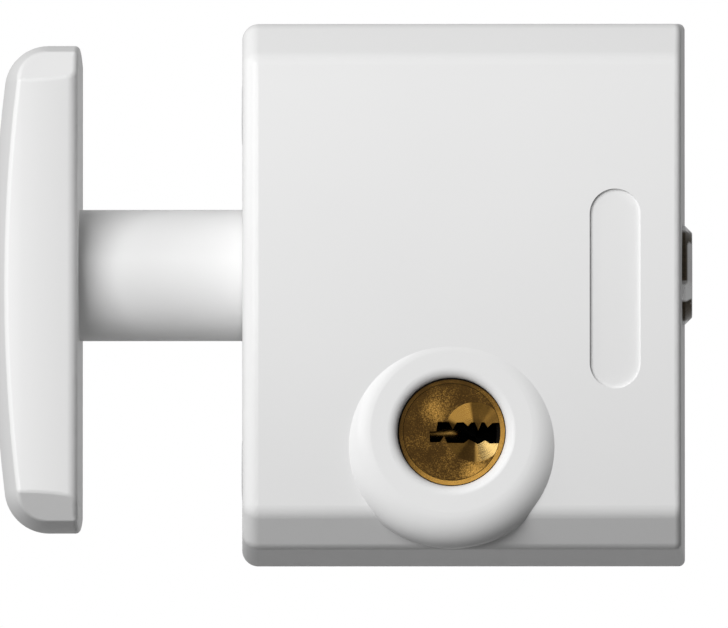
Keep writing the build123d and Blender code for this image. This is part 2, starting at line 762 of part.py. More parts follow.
# Chamber strip: closes the five chambers
with BuildPart() as chamber_strip:
    strip_x = cylinder_x - chamber_block_reach
    with BuildSketch(Plane.YZ.offset(strip_x)):
        with Locations(((block_front_y + block_rear_y) / 2, cylinder_z)):
            Rectangle(block_rear_y - block_front_y, chamber_block_width)
    extrude(amount=-strip_thickness)
    fillet(edges().filter_by(Axis.X), strip_corner_radius)
finish(chamber_strip, "chamber_strip")

# Driver pins and their springs
driver_inner_x = cylinder_x - plug_radius - running_gap - shear_gap
with BuildPart() as driver_pins:
    with BuildSketch(Plane.YZ.offset(driver_inner_x)):
        with Locations(*[(y, cylinder_z) for y in pin_ys]):
            Circle(pin_radius)
    extrude(amount=-driver_length)
finish(driver_pins, "driver_pins")

with BuildPart() as pin_springs:
    spring_start_x = driver_inner_x - driver_length - pin_spring_wire / 2 - coil_gap
    pin_spring_length = spring_start_x - strip_x - pin_spring_wire / 2 - coil_gap
    for y in pin_ys:
        with BuildLine() as coil:
            Helix(
                pitch=pin_spring_length / pin_spring_turns,
                height=pin_spring_length,
                radius=pin_radius - pin_spring_wire / 2,
                center=(spring_start_x, y, cylinder_z),
                direction=(-1, 0, 0),
            )
        with BuildSketch(Plane(origin=coil.line @ 0, z_dir=coil.line % 0)):
            RegularPolygon(pin_spring_wire / 2, pin_spring_sides)
        sweep(path=coil.line, is_frenet=True)
finish(pin_springs, "pin_springs")

# Plug: turned brass, with a conical dish and the keyway broached along it
keyway_points = [
    (-2.66, 0.06), (-1.86, 0.08), (-1.7, 1.22), (-0.36, 1.25), (0.14, 0.35), (0.6, 1.16),
    (1.42, 1.21), (1.96, 0.74), (2.34, 1.18), (2.8, 1.21), (3.22, 0.2), (3.6, 1.2),
    (3.95, 1.21), (4.36, 0.58), (4.9, 1.1), (7.0, 1.21), (7.0, -1.35), (4.62, -1.4),
    (4.05, -1.02), (3.15, -1.45), (2.08, -0.88), (1.5, -1.34), (-0.56, -1.34),
    (-0.92, -0.45), (-1.4, -1.25), (-2.66, -1.25),
]
plug_face_y = body_face_y - plug_face_reach
plug_rear_y = cam_front_y
with BuildPart() as plug:
    with BuildSketch(key_plane(plug_face_y)):
        Circle(plug_head_radius)
    extrude(amount=-plug_head_length)
    with BuildSketch(key_plane(plug_face_y)):
        Circle(plug_radius)
    extrude(amount=plug_face_y - plug_rear_y)
    with BuildSketch(key_section()):
        with BuildLine():
            Polyline(
                (dish_offset, plug_face_y + dish_depth),
                (dish_offset, plug_face_y - spare),
                (dish_offset + dish_radius * (1 + spare / dish_depth), plug_face_y - spare),
                close=True,
            )
        make_face()
    revolve(axis=Axis((cylinder_x + dish_offset, 0, cylinder_z), (0, 1, 0)), mode=Mode.SUBTRACT)
    with BuildSketch(key_plane(plug_face_y)):
        Polygon(*keyway_points, align=None)
    keyway_length = pin_ys[-1] + keyway_reach - plug_face_y
    extrude(amount=-keyway_length, mode=Mode.SUBTRACT)
    with BuildSketch(Plane.YZ.offset(cylinder_x + max(key_pin_tips))):
        with Locations(*[(y, cylinder_z) for y in pin_ys]):
            Circle(pin_radius + running_gap)
    extrude(amount=-max(key_pin_tips) - plug_radius - spare, mode=Mode.SUBTRACT)
    with BuildSketch(key_plane(plug_rear_y)):
        Rectangle(2 * (plug_radius + spare), cam_tongue_width + 2 * seat_gap)
    extrude(amount=cam_tongue_depth + seat_gap, mode=Mode.SUBTRACT)
    with BuildSketch(key_plane(plug_rear_y)):
        Circle(cam_screw_radius + seat_gap)
    extrude(amount=cam_screw_depth, mode=Mode.SUBTRACT)
finish(plug, "plug")

# Key pins: their outer ends lie at the shear line and their round tips stand in the keyway
with BuildPart() as key_pins:
    shear_x = -sqrt(plug_radius**2 - pin_radius**2)
    for y, tip_x in zip(pin_ys, key_pin_tips):
        with BuildSketch(Plane(origin=(cylinder_x, y, cylinder_z), x_dir=(1, 0, 0), z_dir=(0, 0, 1))):
            with BuildLine():
                Polyline(
                    (tip_x - pin_radius, pin_radius),
                    (shear_x, pin_radius),
                    (shear_x, 0),
                    (tip_x, 0),
                )
                RadiusArc((tip_x, 0), (tip_x - pin_radius, pin_radius), -pin_radius)
            make_face()
        revolve(axis=Axis((0, y, cylinder_z), (1, 0, 0)))
finish(key_pins, "key_pins")

# Cam: sits on the plug's rear end with a tongue in its slot, and carries an eccentric pin
with BuildPart() as cam:
    lobe = (cam_throw * cos(cam_start), cam_throw * sin(cam_start))
    with BuildSketch(key_plane(cam_rear_y)):
        Circle(cam_hub_radius)
        with Locations(lobe):
            Circle(cam_lobe_radius)
        make_hull()
    extrude(amount=cam_thickness)
    with BuildSketch(key_plane(cam_front_y)):
        Rectangle(2 * plug_radius, cam_tongue_width)
        Circle(cam_hub_radius - cam_tongue_inset, mode=Mode.INTERSECT)
    extrude(amount=cam_tongue_depth)
    with BuildSketch(key_plane(cam_rear_y)):
        with Locations(lobe):
            Circle(cam_pin_radius)
    extrude(amount=-(fork_rear_y - cam_rear_y))
    screw_seat = Plane(origin=(cylinder_x, cam_rear_y, cylinder_z), x_dir=(1, 0, 0), z_dir=(0, 1, 0))
    with Locations(screw_seat):
        CounterSinkHole(
            cam_screw_radius + seat_gap, cam_screw_head_radius + seat_gap,
            depth=cam_thickness + cam_tongue_depth,
        )
finish(cam, "cam")

# Cam screw: countersunk, its head flush with the cam's rear face
with BuildPart() as cam_screw:
    with BuildSketch(key_section()):
        head_end_y = cam_rear_y - (cam_screw_head_radius - cam_screw_radius)
        tip_y = cam_front_y - cam_screw_depth + cam_screw_spare
        with BuildLine():
            Polyline(
                (0, cam_rear_y),
                (cam_screw_head_radius, cam_rear_y),
                (cam_screw_radius, head_end_y),
                (cam_screw_radius, tip_y),
                (0, tip_y),
                close=True,
            )
        make_face()
    revolve(axis=cylinder_axis)
    with BuildSketch(key_plane(cam_rear_y)):
        Rectangle(2 * cam_screw_head_radius, cam_screw_slot)
    extrude(amount=cam_screw_slot, mode=Mode.SUBTRACT)
finish(cam_screw, "cam_screw")

# Mechanism plate: stamped steel, screwed to the posts, holding the cylinder's rear
with BuildPart() as mechanism_plate:
    left_x = post_places[0][0] - post_radius
    right_x = post_places[2][0] + post_radius
    bottom_z = post_places[0][1] - post_radius
    shoulder_z = post_places[1][1] + post_radius
    tongue_floor_z = fork_tongue_low_z - moving_gap
    arm_x = tongue_right_x + moving_gap
    arm_top_z = bolt_axis_z + guide_pin_radius + plate_arm_margin
    with BuildSketch(front_plane(mech_rear_y)):
        with BuildLine():
            Polyline(
                (left_x, bottom_z),
                (right_x, bottom_z),
                (right_x, arm_top_z),
                (arm_x, arm_top_z),
                (arm_x, tongue_floor_z),
                (tongue_left_x - moving_gap, tongue_floor_z),
                (tongue_left_x - moving_gap, shoulder_z),
                (left_x, shoulder_z),
                close=True,
            )
        make_face()
        fillet(vertices().group_by(Axis.Y)[0], plate_low_corner)
        fillet(vertices().group_by(Axis.Y)[-1], plate_high_corner)
        with Locations((cylinder_x, cylinder_z)):
            Circle(plug_radius + moving_gap, mode=Mode.SUBTRACT)
        with Locations(*post_places):
            Circle(post_screw_radius + seat_gap, mode=Mode.SUBTRACT)
        with Locations((fork_guide_x, fork_guide_high_z), (fork_guide_x, fork_guide_low_z)):
            Circle(guide_pin_radius + seat_gap, mode=Mode.SUBTRACT)
        with Locations((bolt_guide_x, bolt_axis_z)):
            Circle(guide_pin_radius + seat_gap, mode=Mode.SUBTRACT)
    extrude(amount=plate_sheet)
finish(mechanism_plate, "mechanism_plate")

# Fork guide pins: riveted in the mechanism plate, behind it
with BuildPart() as fork_guide_pins:
    with BuildSketch(front_plane(fork_rear_y)):
        with Locations((fork_guide_x, fork_guide_high_z), (fork_guide_x, fork_guide_low_z)):
            Circle(guide_pin_radius)
    extrude(amount=fork_rear_y - mech_front_y)
finish(fork_guide_pins, "fork_guide_pins")

# Bolt guide pin: riveted in the mechanism plate, its end in the bolt's slot
with BuildPart() as bolt_guide_pin:
    guide_end_y = bolt_axis_y + bolt_radius - bolt_guide_depth + moving_gap
    with BuildSketch(front_plane(mech_rear_y)):
        with Locations((bolt_guide_x, bolt_axis_z)):
            Circle(guide_pin_radius)
    extrude(amount=mech_rear_y - guide_end_y)
finish(bolt_guide_pin, "bolt_guide_pin")

# Plate screws: pan heads, into the posts
with BuildPart() as plate_screws:
    with BuildSketch(front_plane(mech_rear_y)):
        with Locations(*post_places):
            Circle(post_screw_head_radius)
    extrude(amount=-post_screw_head_height)
    chamfer(edges().group_by(Axis.Y)[-1], post_screw_edge)
    with BuildSketch(front_plane(mech_rear_y)):
        with Locations(*post_places):
            Circle(post_screw_radius - seat_gap)
    extrude(amount=plate_sheet + post_screw_length - post_screw_spare)
    with BuildSketch(front_plane(mech_rear_y + post_screw_head_height)):
        with Locations(*post_places):
            Rectangle(driver_cross, driver_cross_width)
            Rectangle(driver_cross_width, driver_cross)
    extrude(amount=driver_cross_depth, mode=Mode.SUBTRACT)
finish(plate_screws, "plate_screws")

# Locking fork: a slide of bent steel behind the mechanism plate, its tongue reaching forwards
# under the bolt
with BuildPart() as locking_fork:
    slide_left_x = fork_guide_x - guide_pin_radius - fork_margin
    slide_low_z = fork_guide_low_z - fork_travel - guide_pin_radius - fork_low_margin
    slide_high_z = fork_guide_high_z + guide_pin_radius + fork_margin
    with BuildSketch(front_plane(fork_rear_y)):
        with BuildLine():
            Polyline(
                (slide_left_x, slide_low_z),
                (tongue_right_x, slide_low_z),
                (tongue_right_x, fork_prong_z),
                (tongue_left_x, fork_prong_z),
                (tongue_left_x - fork_shoulder, slide_high_z),
                (slide_left_x, slide_high_z),
                close=True,
            )
        make_face()
        with Locations(
            *[(fork_guide_x, z - fork_travel / 2) for z in (fork_guide_high_z, fork_guide_low_z)]
        ):
            guide_slot_width = 2 * guide_pin_radius + slot_gap
            SlotCenterToCenter(fork_travel, guide_slot_width, rotation=90, mode=Mode.SUBTRACT)
        cam_slot_length = cam_throw - cam_throw * cos(cam_start)
        with Locations((cam_pin_x + cam_slot_length / 2, cam_pin_z)):
            SlotCenterToCenter(cam_slot_length, 2 * (cam_pin_radius + slot_gap), mode=Mode.SUBTRACT)
    extrude(amount=fork_sheet)
    with BuildSketch(cross_plane(tongue_left_x)):
        prong_front_y = -groove_core_radius - fork_tip_gap - fork_prong_reach
        with BuildLine():
            Polyline(
                (fork_rear_y - bolt_axis_y, fork_tongue_low_z - bolt_axis_z),
                (fork_rear_y - bolt_axis_y, fork_prong_z - bolt_axis_z),
                (prong_front_y, fork_prong_z - bolt_axis_z),
                (prong_front_y, fork_tongue_low_z - bolt_axis_z),
                close=True,
            )
        make_face()
        with Locations((0, -fork_travel)):
            Circle(groove_core_radius + fork_tip_gap, mode=Mode.SUBTRACT)
    extrude(amount=fork_sheet)
finish(locking_fork, "locking_fork")
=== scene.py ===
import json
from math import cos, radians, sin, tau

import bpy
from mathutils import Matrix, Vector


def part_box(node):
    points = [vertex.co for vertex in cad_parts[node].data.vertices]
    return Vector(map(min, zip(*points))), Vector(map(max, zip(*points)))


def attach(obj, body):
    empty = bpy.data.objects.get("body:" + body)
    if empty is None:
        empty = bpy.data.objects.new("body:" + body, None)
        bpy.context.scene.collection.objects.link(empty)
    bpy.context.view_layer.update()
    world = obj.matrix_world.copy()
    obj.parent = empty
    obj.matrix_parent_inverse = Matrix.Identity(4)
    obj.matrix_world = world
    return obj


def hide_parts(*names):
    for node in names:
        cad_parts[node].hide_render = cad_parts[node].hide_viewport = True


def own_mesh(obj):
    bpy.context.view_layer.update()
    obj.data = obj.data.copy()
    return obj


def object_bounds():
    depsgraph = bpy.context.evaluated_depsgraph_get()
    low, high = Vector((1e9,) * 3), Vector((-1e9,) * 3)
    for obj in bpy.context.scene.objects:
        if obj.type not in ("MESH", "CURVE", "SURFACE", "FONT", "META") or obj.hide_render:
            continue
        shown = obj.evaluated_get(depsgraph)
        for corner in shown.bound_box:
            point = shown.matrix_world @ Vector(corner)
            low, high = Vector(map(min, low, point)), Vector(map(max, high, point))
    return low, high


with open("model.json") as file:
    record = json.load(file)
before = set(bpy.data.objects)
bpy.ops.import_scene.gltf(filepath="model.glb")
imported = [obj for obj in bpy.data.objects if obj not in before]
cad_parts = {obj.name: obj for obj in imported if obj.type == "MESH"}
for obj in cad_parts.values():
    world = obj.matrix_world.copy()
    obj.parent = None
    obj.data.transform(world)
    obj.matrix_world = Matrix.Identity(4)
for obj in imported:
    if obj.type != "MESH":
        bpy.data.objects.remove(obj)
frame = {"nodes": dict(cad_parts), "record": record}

# %% [markdown]
# A window lock with a push bolt. Its case, push plate, bolt, key cylinder and all that is inside
# come from the imported frame, already at their real size. This script gives them their finishes,
# draws the springs' round wire, and sets up the floor, the lamps and the camera.
#
# The size of the frame is kept first and printed.

MM = 0.001
nodes = frame["nodes"]
frame_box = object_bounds()


def in_mm(lengths):
    """Lengths in millimetres, rounded for the prints."""
    return [round(length / MM, 2) for length in lengths]


frame_size = Vector(frame_box[1]) - Vector(frame_box[0])
print("the frame has", len(nodes), "pieces and measures", in_mm(frame_size), "mm")

# %% [markdown]
# Places that the finishes need are read from the frame and never typed in twice. The plug is the
# brass barrel that the key turns. Its axis runs along Y through the middle of the cam's screw, and
# its front face shows in the ring. The bolt and its return spring run along X. Only what the boxes
# don't tell is a number here: the round dish that is turned into the plug's face, right of its
# middle, and the radius where the plug ends and the cylinder body's rim begins.

# %% Places on the lock
plug_low, plug_high = (Vector(corner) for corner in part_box("plug"))
bolt_low, bolt_high = (Vector(corner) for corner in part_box("bolt"))
cam_screw_low, cam_screw_high = (Vector(corner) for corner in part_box("cam_screw"))
plug_middle = (plug_low + plug_high) / 2
bolt_middle = (bolt_low + bolt_high) / 2
cam_screw_middle = (cam_screw_low + cam_screw_high) / 2
key_axis = Vector((cam_screw_middle.x, plug_low.y, plug_middle.z))
bolt_axis = Vector((bolt_low.x, bolt_middle.y, bolt_middle.z))
nose_end = bolt_high.x
dish_radius = 3.6 * MM
dish_centre = key_axis + Vector((2.8 * MM, 0.0, 0.0))
plug_edge = 5.88 * MM
print("the key's axis passes", in_mm(key_axis), "mm and the bolt's", in_mm(bolt_axis), "mm")

# %% [markdown]
# Shader maths reads best as sums. Signal wraps a node's output socket, so that an expression on
# signals adds the Math nodes that it needs. The reflected forms let a number stand first, as in
# 1 - mask. Every node comes from NodeTree.node, which takes the node's type, its settings and
# what its sockets are fed with.


# %% Signals and nodes
class Signal:
    """An output socket on which plus, minus and times add Math nodes."""

    def __init__(self, owner, socket):
        self.owner = owner
        self.socket = socket

    def _math(self, operation, first, second):
        return self.owner.node("Math", {0: first, 1: second}, operation=operation)

    def __add__(self, other):
        return self._math("ADD", self, other)

    __radd__ = __add__

    def __sub__(self, other):
        return self._math("SUBTRACT", self, other)

    def __rsub__(self, other):
        return self._math("SUBTRACT", other, self)

    def __mul__(self, other):
        return self._math("MULTIPLY", self, other)

    __rmul__ = __mul__


class NodeTree:
    """A node tree whose nodes are all added by one method."""

    def __init__(self, tree):
        self.tree = tree

    def node(self, kind, feeds=None, output=0, **settings):
        """Adds a node, applies its settings, feeds its sockets and returns one of its outputs."""
        made = self.tree.nodes.new("ShaderNode" + kind)
        for name, value in settings.items():
            setattr(made, name, value)
        for name, value in (feeds or {}).items():
            self.feed(made.inputs[name], value)
        return Signal(self, made.outputs[output])

    def feed(self, socket, value):
        """Links a signal to a socket, or sets the socket's own value."""
        if isinstance(value, Signal):
            self.tree.links.new(value.socket, socket)
        else:
            socket.default_value = value


# %% [markdown]
# A finish is a material whose pattern is fixed to the piece, because it reads Object coordinates,
# which are metres here. A noise's scale is therefore roughly the number of its blotches in a
# metre: 45 drifts over a whole wall, and 7600 makes specks of a tenth of a millimetre.


# %% Finishes
class Finish(NodeTree):
    """One surface finish: a material and the patterns that it is made from."""

    def __init__(self, name):
        self.material = bpy.data.materials.new(name)
        self.material.use_nodes = True
        super().__init__(self.material.node_tree)
        self.place = self.node("TexCoord", output="Object")

    def surface(self, feeds):
        """Feeds the Principled surface by its sockets' names and returns the finished material."""
        shader = self.tree.nodes["Principled BSDF"]
        for name, value in feeds.items():
            self.feed(shader.inputs[name], value)
        print(self.material.name, "takes", len(self.tree.nodes), "nodes")
        return self.material

    def noise(self, scale, detail=2.0, roughness=0.5, place=None):
        feeds = {"Vector": place or self.place, "Scale": scale, "Detail": detail, "Roughness": roughness}
        return self.node("TexNoise", feeds)

    def lathe_marks(self, position, scale):
        """Lines that a lathe leaves: a noise that changes along one way only."""
        feeds = {"W": position * scale, "Scale": 1.0, "Detail": 3.0}
        return self.node("TexNoise", feeds, noise_dimensions="1D")

    def between(self, amount, low, high):
        """The colour that lies between low and high as amount goes from 0 to 1."""
        feeds = {"Factor": amount, 6: low, 7: high}
        return self.node("Mix", feeds, output=2, data_type="RGBA", clamp_factor=True)

    def step(self, signal, start, end, low=0.0, high=1.0):
        """A smooth change from low to high while the signal goes from start to end."""
        feeds = {"Value": signal, "From Min": start, "From Max": end, "To Min": low, "To Max": high}
        return self.node("MapRange", feeds, output="Result", interpolation_type="SMOOTHSTEP")

    def bump(self, height, distance, strength=1.0, under=None):
        """A relief as high as distance, laid over another one if there is one under it."""
        feeds = {"Height": height, "Distance": distance, "Strength": strength}
        if under:
            feeds["Normal"] = under
        return self.node("Bump", feeds, output="Normal")

    def along(self, axis):
        """The coordinate along one axis."""
        return self.node("SeparateXYZ", {0: self.place}, output=axis)

    def in_face(self, centre):
        """The way from centre to a point, without its part along Y, which is depth on this lock."""
        offset = self.node("VectorMath", {0: self.place, 1: tuple(centre)}, operation="SUBTRACT")
        return self.node("VectorMath", {0: offset, 1: (1.0, 0.0, 1.0)}, operation="MULTIPLY")

    def distance_from(self, centre):
        """How far a point lies from the line along Y through centre."""
        return self.node("VectorMath", {0: self.in_face(centre)}, output="Value", operation="LENGTH")


def grey(level):
    return (level, level, level, 1.0)


# %% [markdown]
# The case and the push plate are zinc castings with white powder coat. The coat is satin: it has
# a fine orange peel that only shows where a highlight breaks up, so both reliefs are kept shallow,
# and its tone drifts very little. The satin's own reflection is turned down, and a weak clear coat
# over it gives the edges and the ring narrower highlights, without making the flat front shine.

# %% White powder coat
coat = Finish("white_powder_coat")
drift = coat.noise(45.0, detail=3.0)
peel = coat.noise(620.0, detail=2.0, roughness=0.45)
grain = coat.noise(4200.0, detail=1.0)
white_paint = coat.surface({
    "Base Color": coat.between(drift, (0.78, 0.78, 0.78, 1.0), (0.805, 0.805, 0.803, 1.0)),
    "Roughness": coat.step(peel, 0.3, 0.7, 0.45, 0.51),
    "Normal": coat.bump(grain, 0.001 * MM, 0.5, coat.bump(peel, 0.004 * MM, 0.5)),
    "IOR": 1.35,
    "Specular IOR Level": 0.15,
    "Coat Weight": 0.3,
    "Coat Roughness": 0.2,
})

# %% [markdown]
# The cylinder is turned brass that has been handled for years. Its face has three regions: the
# plug's flat, the conical dish in it, and the rim of the body round it. Each is a mask that is 1
# inside and 0 outside, and that changes over a few hundredths of a millimetre.
#
# Three kinds of mark say where on the face something is: a soft round spot, how well a place
# agrees with a direction, and a sector of the dish.

# %% Regions of the brass face
brass = Finish("tarnished_brass")
mask_edge = 0.04 * MM
from_key = brass.distance_from(key_axis)
from_dish = brass.distance_from(dish_centre)
in_dish = brass.step(from_dish, dish_radius + mask_edge, dish_radius - mask_edge)
on_ring = brass.step(from_key, plug_edge - mask_edge / 2, plug_edge + mask_edge / 2)
on_plug = 1.0 - on_ring


def spot(across, up, reach):
    """1 at a place on the face, in millimetres from the plug's middle, and 0 past its reach."""
    place = key_axis + Vector((across, 0.0, up)) * MM
    return brass.step(brass.distance_from(place), reach * MM, 0.0)


def towards(centre, angle):
    """1 on the side of centre that the angle points to and -1 on the other: 0 is right, 90 up."""
    way = brass.node("VectorMath", {0: brass.in_face(centre)}, operation="NORMALIZE")
    aim = (cos(radians(angle)), 0.0, sin(radians(angle)))
    return brass.node("VectorMath", {0: way, 1: aim}, output="Value", operation="DOT_PRODUCT")


def sector(angle, spread):
    """1 in the middle of a sector of the dish and 0 at spread degrees from it."""
    return brass.step(towards(dish_centre, angle), cos(radians(spread)), cos(radians(spread * 0.45)))


print("the dish and the plug are", in_mm([2 * dish_radius, 2 * plug_edge]), "mm across")

# %% [markdown]
# A brown tarnish lies over the gold. Gold is painted through it in places as painted reflections
# and highlights: the upper left of the plug, its lower right, some sectors of the dish, and the
# rim's lower right. Fine pits and specks break the tarnish up at the scale of a tenth of a millimetre.
#
# One number adds these up: 0 is full tarnish and 1 is clean gold. A painted mask could hold the
# same picture, but sums of soft spots stay procedural and are easy to change.

# %% Tarnish and painted reflections on the brass
BRIGHT_SECTOR = (-50, 44)  # direction and spread in degrees
PAINTED_REFLECTION_SPOTS = (  # across, up and reach in millimetres, then how much gold shows
    (-1.9, 2.7, 3.6, 0.29),
    (3.0, -4.9, 2.8, 0.34),
)
PAINTED_HIGHLIGHT_SECTORS = (  # direction and spread in degrees, then how much gold shows
    (128, 34, 1.0),
    (78, 44, 0.18),
    (36, 24, 0.18),
    (-150, 30, 0.16),
)
mottle = brass.noise(500.0) - 0.5
specks = brass.noise(7600.0, roughness=0.8) - 0.5
# The side towards the lower right, where the plug and the rim get painted reflections. The gap's upper left,
# on the other side, gets a painted shadow.
towards_lower_right = towards(key_axis, -52.0)
bright_sector = sector(*BRIGHT_SECTOR)
# Painted reflections on the plug's face: soft spots of gold and a slight lightening towards the lower right.
painted_plug_reflections = towards_lower_right * 0.05
for across, up, reach, gold in PAINTED_REFLECTION_SPOTS:
    painted_plug_reflections = painted_plug_reflections + spot(across, up, reach) * gold
# Painted highlights in the dish: the sectors where the turned cone catches the light are painted gold.
painted_dish_highlights = bright_sector + 0.05
for angle, spread, gold in PAINTED_HIGHLIGHT_SECTORS:
    painted_dish_highlights = painted_dish_highlights + sector(angle, spread) * gold
# The rim's lower right is painted lighter: a painted reflection of the light from the upper left.
painted_rim_reflection = brass.step(towards_lower_right, -0.6, 1.0) * 0.43 + 0.03
painted_reflections = (painted_plug_reflections * (1.0 - in_dish) + painted_dish_highlights * in_dish) * on_plug + painted_rim_reflection * on_ring
broken = (mottle * 0.45 + specks * 1.15) * (1.0 - in_dish * 0.7) * (1.0 - on_ring * 0.4)
gold_and_painted_sheen = brass.step(painted_reflections + broken + 0.05, 0.0, 1.1)
print("gold shows in", len(PAINTED_REFLECTION_SPOTS), "spots and", len(PAINTED_HIGHLIGHT_SECTORS) + 1, "sectors of the dish")

# %% [markdown]
# The dish's lower right sector faces the lamp like a mirror, where the gold would be far too
# bright. Its own colour is darker and less yellow, so that it shines as much as in the photograph.
# The keyway past the face and the upper left of the gap round it are painted black: painted shade.
#
# Rings from the lathe run round each turned face. They are narrower than a pixel, so what shows is
# not the rings but how they scatter a highlight along the radius. That spreads the dish's highlights,
# whose sectors are painted in its colour.

# %% Turned brass
GOLD = (0.74, 0.405, 0.088, 1.0)
TARNISH = (0.038, 0.020, 0.0055, 1.0)
PALE_BRASS = (0.188, 0.126, 0.045, 1.0)
PAINTED_SHADE = (0.004, 0.0035, 0.003, 1.0)
face_radius = 6.4 * MM
shade_depth = 0.5 * MM  # behind the brass face
keyway_half = 1.55 * MM
depth = brass.along("Y") - key_axis.y
height = brass.node("Math", {0: brass.along("Z") - key_axis.z}, operation="ABSOLUTE")
in_keyway = brass.step(height, keyway_half + 0.1 * MM, keyway_half)
deep = brass.step(depth, shade_depth, shade_depth + 1.2 * MM)
gap_shadow = brass.step(from_key, face_radius - 0.1 * MM, face_radius) * brass.step(towards_lower_right, 0.1, -0.4)
colour = brass.between(gold_and_painted_sheen, TARNISH, GOLD)
colour = brass.between(bright_sector * in_dish * on_plug, colour, PALE_BRASS)
# Painted shade: the keyway past the face and the upper left of the gap turn black.
colour = brass.between(deep * in_keyway + gap_shadow, colour, PAINTED_SHADE)
rings = brass.lathe_marks(from_key * (1.0 - in_dish) + from_dish * in_dish, 9000.0)
pits = brass.bump(specks, 0.004 * MM, 0.6)
turned_brass = brass.surface({
    "Base Color": colour,
    "Metallic": 1.0,
    "Roughness": brass.step(gold_and_painted_sheen, 0.0, 1.0, 0.48, 0.24),
    "Normal": brass.bump(rings, (0.004 + in_dish * 0.008) * MM, 0.9, pits),
})

# %% [markdown]
# The key pins are brass too, but the key has kept their tips clean, so they get a lighter finish
# of their own. It shows as the one bright line in the black keyway.

# %% Key pins
pins = Finish("rubbed_pin_brass")
pin_film = pins.noise(1500.0, detail=3.0)
rubbed_pins = pins.surface({
    "Base Color": pins.between(pin_film, (0.10, 0.05, 0.012, 1.0), (0.42, 0.24, 0.06, 1.0)),
    "Metallic": 1.0,
    "Roughness": pins.step(pin_film, 0.3, 0.7, 0.24, 0.36),
    "Normal": pins.bump(pin_film, 0.003 * MM, 0.5),
})

# %% [markdown]
# The bolt is turned and polished steel, and its lathe marks run round it. Dark streaks along the
# way that the bolt slides are painted on its nose: painted reflections of dark surroundings. They
# stay within a few millimetres of the end, are painted fainter on the end's rim and are left off
# the end face.
#
# The streaks are bands between two heights. A noise that is stretched along X moves their edges,
# so that they wander without turning ragged.

# %% Bright steel
REFLECTION_BLACK = (0.012, 0.012, 0.012, 1.0)
REFLECTION_BROWN = (0.075, 0.058, 0.036, 1.0)
BROAD_REFLECTION_BAND = (-0.9, 4.6)  # heights above the bolt's axis, in millimetres
THIN_REFLECTION_BANDS = ((4.0, 5.0), (-5.2, -3.6))
streak_edge = 0.5 * MM
steel = Finish("bright_turned_steel")
smear = steel.noise(160.0, detail=3.0)
stretched = steel.node("Mapping", {"Vector": steel.place, "Scale": (0.12, 1.0, 1.0)})
wander = (steel.noise(900.0, place=stretched) - 0.5) * (1.6 * MM)
above_axis = steel.along("Z") - bolt_axis.z + wander
from_end = steel.along("X") - nose_end


def streak(low, high):
    """1 between two heights above the bolt's axis, in millimetres."""
    from_low = steel.step(above_axis, low * MM - streak_edge, low * MM)
    return from_low * steel.step(above_axis, high * MM + streak_edge, high * MM)


end_rim = steel.step(from_end, -0.75 * MM, -0.45 * MM)
end_face = steel.step(from_end, -0.10 * MM, -0.04 * MM)
near_nose = steel.step(from_end, -7.0 * MM, -2.5 * MM)
# Painted reflection: dark bands on the polished nose.
painted_reflection_bands = streak(*BROAD_REFLECTION_BAND) * (1.0 - end_rim * 0.8)
for low, high in THIN_REFLECTION_BANDS:
    painted_reflection_bands = painted_reflection_bands + streak(low, high)
painted_reflection_bands = painted_reflection_bands * near_nose * (1.0 - end_face)
painted_reflection_tone = steel.between(steel.noise(4200.0, detail=1.0), REFLECTION_BLACK, REFLECTION_BROWN)
clean = steel.between(smear, grey(0.42), grey(0.60))
bright_steel = steel.surface({
    "Base Color": steel.between(painted_reflection_bands, clean, painted_reflection_tone),
    "Metallic": 1.0,
    "Roughness": steel.step(smear, 0.3, 0.7, 0.20, 0.34),
    "Normal": steel.bump(steel.lathe_marks(steel.along("X"), 5200.0), 0.002 * MM, 0.6),
})

# %% [markdown]
# The base plate and the mechanism's steel are zinc plated. Plating has a fine crystal grain that
# dulls it, and a faint bluish film that is thicker in some places.

# %% Zinc plate
zinc = Finish("zinc_plated_steel")
crystals = zinc.noise(900.0)
zinc_film = zinc.noise(120.0, detail=3.0)
zinc_plate = zinc.surface({
    "Base Color": zinc.between(zinc_film, (0.52, 0.54, 0.57, 1.0), (0.66, 0.665, 0.66, 1.0)),
    "Metallic": 1.0,
    "Roughness": zinc.step(crystals, 0.3, 0.7, 0.30, 0.45),
    "Normal": zinc.bump(crystals, 0.004 * MM, 0.5),
})

# %% [markdown]
# Two screws hold the case to the base plate, through its left wall. Their heads are lacquered
# white with the case, and their shanks stay plated. One finish does both: a mask along X is 1 on
# the head, mixes the two colours and turns the metal off.

# %% Cover screws
screw_low = Vector(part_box("cover_screws")[0])
head_depth = 1.2 * MM
screw = Finish("white_screw_heads")
screw_grain = screw.noise(900.0)
head = screw.step(screw.along("X"), screw_low.x + head_depth + 0.1 * MM, screw_low.x + head_depth)
lacquered_screws = screw.surface({
    "Base Color": screw.between(head, (0.58, 0.60, 0.61, 1.0), (0.79, 0.795, 0.80, 1.0)),
    "Metallic": 1.0 - head,
    "Roughness": screw.step(screw_grain, 0.3, 0.7, 0.38, 0.48),
    "Normal": screw.bump(screw_grain, 0.004 * MM, 0.5),
})

# %% [markdown]
# The springs are wire that was drawn through a die and tempered, so it is darker than plate. The
# bushes are moulded acetal, an off-white plastic that looks slightly waxy. Both sit inside the
# case and are simple: one noise gives the tone, the gloss and the relief.

